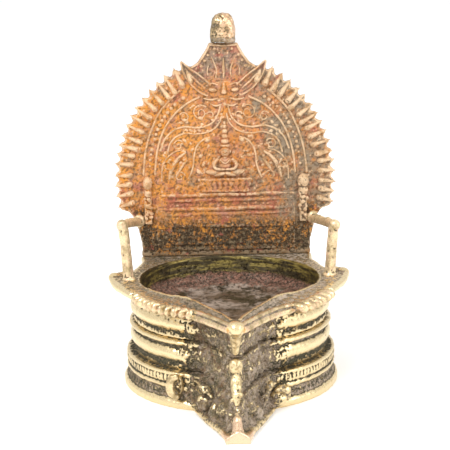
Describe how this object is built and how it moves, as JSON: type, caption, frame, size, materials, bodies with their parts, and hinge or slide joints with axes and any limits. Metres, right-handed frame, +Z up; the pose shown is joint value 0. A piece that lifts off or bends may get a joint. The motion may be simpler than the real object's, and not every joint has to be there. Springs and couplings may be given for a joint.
{
  "type": "oil lamp",
  "caption": "Free-standing brass oil lamp: a leaf-shaped oil bowl with a pointed spout on a moulded pedestal, with an arched relief back plate braced by two side stays.",
  "frame": {"origin": "on the table, under the middle of the lamp's width and midway between the toe and the back of the foot", "axes": "+Z up, the spout and toe towards -Y, the back plate towards +Y, +X to the right of someone facing the spout"},
  "size_m": [0.102, 0.1216, 0.1508],
  "materials": {
    "pedestal_brass": "cast, tarnished in the hollows and rubbed bright on the mouldings",
    "bowl_brass": "cast, greasy and darkened by oil, rubbed on the edges",
    "worn_brass": "cast, worn to a soft pale polish",
    "powdered_brass": "cast, caked with orange and red powder over a dark tarnish"
  },
  "bodies": {
    "root": {"foot": "pedestal_brass", "foot_boss_left": "worn_brass", "foot_boss_right": "worn_brass", "pedestal_drum": "pedestal_brass", "oil_bowl": "bowl_brass", "prow_rib": "pedestal_brass", "rim_edging_left": "bowl_brass", "rim_edging_right": "bowl_brass", "stay_left": "worn_brass", "stay_right": "worn_brass", "back_plate": "powdered_brass", "finial": "worn_brass", "throne_panel": "powdered_brass", "lotus_seat": "powdered_brass", "seated_figure": "powdered_brass", "crest_mask": "powdered_brass", "arch_moulding_left": "powdered_brass", "arch_moulding_right": "powdered_brass", "pilaster_left": "powdered_brass", "pilaster_right": "powdered_brass"}
  },
  "joints": []
}
